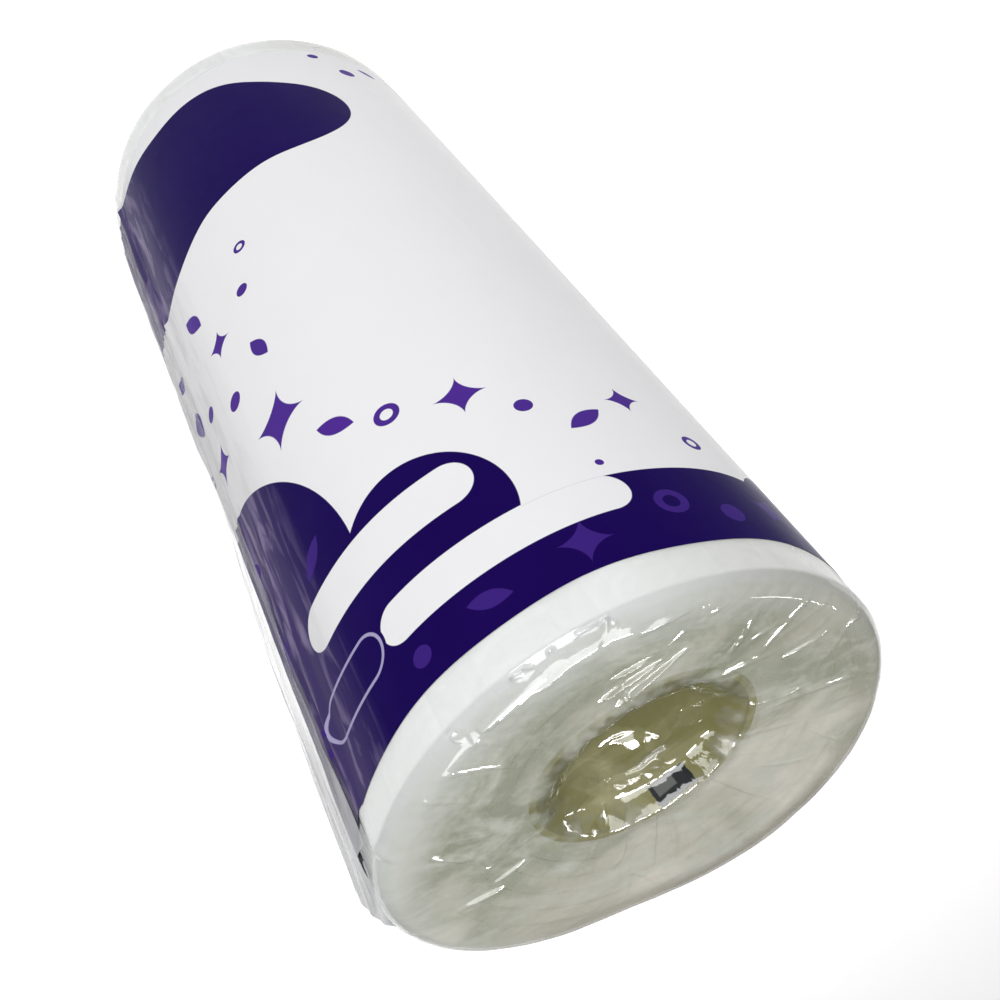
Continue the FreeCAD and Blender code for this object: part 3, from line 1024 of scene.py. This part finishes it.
def towel_material():
    """White tissue: soft fibres, embossed on the side and finely layered on the sawn ends.
    The sawn ends are painted darker and greener: painted shade.
    """
    made, tree, shader = new_material("towel_tissue", 0.95, Sheen_Weight=0.25, Sheen_Roughness=0.6)
    place = object_place(tree)
    x, y, z = split(tree, place)
    on_end = abs(z - HEIGHT / 2) - (HEIGHT / 2 - SAWN_STRETCH)
    on_end = on_end.calc("GREATER_THAN", 0)
    away = ((x - CORE_X * 0.6).power(2) + (y - CORE_Y * 0.6).power(2)).power(0.5)
    wander = noise(tree, place, 16, 2)
    layers = ((away + wander * 5) * (2 * math.pi / TURN_PITCH)).calc("SINE")
    bands = noise(tree, join(tree, away), 3.2, 2)
    fibres = noise(tree, place, 0.8, 4)
    blotch = noise(tree, place, 11, 3)
    emboss = creases(tree, place, 3.2, 0.6)
    tone = blotch * 0.7 + bands * 0.3
    shaded_end_colour = blend(tree, (tone * 1.6 - 0.3).clamped(), TISSUE_END_SHADE, TISSUE_END_PALER_SHADE)
    colour = blend(tree, on_end, TISSUE_SIDE, shaded_end_colour)
    tree.links.new(colour, shader.inputs["Base Color"])
    relief = (layers * 0.12 + bands * 0.6) * on_end + fibres * 0.25 + emboss * 0.3
    bump(tree, shader, relief, 0.6, 0.5)
    return made


KRAFT_DEEP = (0.46, 0.42, 0.07)
KRAFT_LIGHT = (0.60, 0.55, 0.15)
KRAFT_FIBRE = (0.24, 0.21, 0.09)
KRAFT_SEAM = (0.16, 0.14, 0.06)
KRAFT_TOP_SHADE = (0.20, 0.18, 0.08)
STRIP_WIDE = 58             # of the board's spiral strip, along the core
SHADED_TOP_EDGE = 2.0              # stretch at the core's top that is painted darker: painted shade on its lit end


def board_material():
    """Olive-brown cardboard, wound in a spiral strip, painted darker at the top edge as painted shade."""
    made, tree, shader = new_material("core_cardboard", 0.85)
    place = object_place(tree)
    x, y, z = split(tree, place)
    angle = (y - CORE_Y).calc("ARCTAN2", x - CORE_X) / (2 * math.pi)
    strip = (z / STRIP_WIDE + angle).calc("FRACT")
    seam = (abs(strip - 0.5) * STRIP_WIDE - 0.5).inside(0.4)
    fibre = noise(tree, place, 1.4, 4, (1, 1, 3))
    tone = noise(tree, place, 9, 3)
    kraft = blend(tree, tone, KRAFT_DEEP, KRAFT_LIGHT)
    kraft = blend(tree, fibre * 0.35, kraft, KRAFT_FIBRE)
    kraft = blend(tree, seam * 0.5, kraft, KRAFT_SEAM)
    # Painted shade: the top of the core is darker, so that its lit end doesn't show as a light ring
    shaded_top_edge = (z - (HEIGHT - SHADED_TOP_EDGE)).calc("GREATER_THAN", 0)
    kraft = blend(tree, shaded_top_edge * 0.6, kraft, KRAFT_TOP_SHADE)
    tree.links.new(kraft, shader.inputs["Base Color"])
    bump(tree, shader, fibre * 0.5 + seam * -0.3, 0.5, 0.3)
    return made


# Stage

FLOOR_TONES = ((0.86, 0.86, 0.86), (0.87, 0.87, 0.87))
FLOOR_GLOW = 0.71
FLOOR_REACH = 4.0           # metres from the middle to each edge
SKY_FRONT = (0.42, 0.43, 0.44)
SKY_BACK = (0.13, 0.132, 0.125)
# Lamps: name, azimuth, elevation, distance, width, height and watts
LAMPS = (
    ("key", 28, 24, 0.85, 0.4, 0.4, 2.85),
    ("back_strip", GLINT_LAMP_AZIMUTH, GLINT_LAMP_ELEVATION, GLINT_LAMP_DISTANCE, 0.22, 0.09, 2.1),
    ("side_strip", -125, 42, 1.0, 0.02, 0.25, 0.35),
    ("overhead", 180, 78, 1.3, 0.8, 0.8, 7.0),
)


def floor():
    """A plain pale floor, a little luminous so that it stays nearly white."""
    made, tree, shader = new_material("pale_floor", 0.9)
    place = object_place(tree)
    tone = noise(tree, place, 60, 2)
    colour = blend(tree, tone, *FLOOR_TONES)
    tree.links.new(colour, shader.inputs["Base Color"])
    tree.links.new(colour, shader.inputs["Emission Color"])
    shader.inputs["Emission Strength"].default_value = FLOOR_GLOW
    corners = [(FLOOR_REACH * x, FLOOR_REACH * y, 0) for x, y in ((-1, -1), (1, -1), (1, 1), (-1, 1))]
    mesh = bpy.data.meshes.new("floor")
    mesh.from_pydata(corners, [], [(0, 1, 2, 3)])
    mesh.materials.append(made)
    obj = bpy.data.objects.new("floor", mesh)
    bpy.context.collection.objects.link(obj)


def softbox(name, azimuth, elevation, distance, width, height, power):
    """An area light that faces the top of the roll, from an azimuth counted from -Y towards +X."""
    away = direction(azimuth, elevation)
    lamp = bpy.data.lights.new(name, "AREA")
    lamp.shape = "RECTANGLE"
    lamp.size = width
    lamp.size_y = height
    lamp.energy = power
    obj = bpy.data.objects.new(name, lamp)
    obj.location = LIGHT_TARGET + away * distance
    obj.rotation_euler = (-away).to_track_quat("-Z", "Y").to_euler()
    bpy.context.collection.objects.link(obj)


def sky():
    """Bright on the front side and dimmer behind, so that the end is darker than the label."""
    world = bpy.data.worlds.new("studio")
    world.use_nodes = True
    tree = world.node_tree
    place = tree.nodes.new("ShaderNodeTexCoord")
    sideways, toward_back, upward = split(tree, place.outputs["Generated"])
    far_flank = (sideways * -1 - 0.35).most(0)
    share = (toward_back * 0.45 + upward * 0.4 + sideways * 0.3 + far_flank * 1.3 + 0.45).clamped()
    tree.links.new(blend(tree, share, SKY_FRONT, SKY_BACK), tree.nodes["Background"].inputs["Color"])
    bpy.context.scene.world = world


def lights():
    for lamp in LAMPS:
        softbox(*lamp)
    bpy.context.scene.view_settings.view_transform = "Standard"
    paths = bpy.context.scene.cycles
    paths.max_bounces = 6
    paths.diffuse_bounces = 3
    paths.glossy_bounces = 3


def camera():
    """Looks down on the roll as the photograph does, turned about its own line of sight."""
    away = direction(LOOK_AZIMUTH, LOOK_ELEVATION)
    lens = bpy.data.cameras.new("camera")
    lens.lens = LENS
    lens.sensor_width = SENSOR
    lens.sensor_fit = "HORIZONTAL"
    lens.clip_start = 0.01
    obj = bpy.data.objects.new("camera", lens)
    upright = (-away).to_track_quat("-Z", "Y").to_matrix()
    turned = upright @ Matrix.Rotation(CAMERA_ROLL, 3, "Z")
    obj.matrix_world = Matrix.Translation(EYE) @ turned.to_4x4()
    bpy.context.collection.objects.link(obj)
    bpy.context.scene.camera = obj


def paint(piece, made):
    piece.data.materials.clear()
    piece.data.materials.append(made)


def dress(node, made):
    """Gives a carried-over solid its material."""
    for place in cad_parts[node].material_slots:
        place.material = made


paint(printed_sleeve(), printed_material())
paint(lap_margin(), margin_material())
paint(top_end(), clear_material("clear_top", True))
paint(foot_end(), clear_material("clear_foot", False))
dress("towel_roll", towel_material())
dress("core_tube", board_material())
floor()
sky()
lights()
camera()
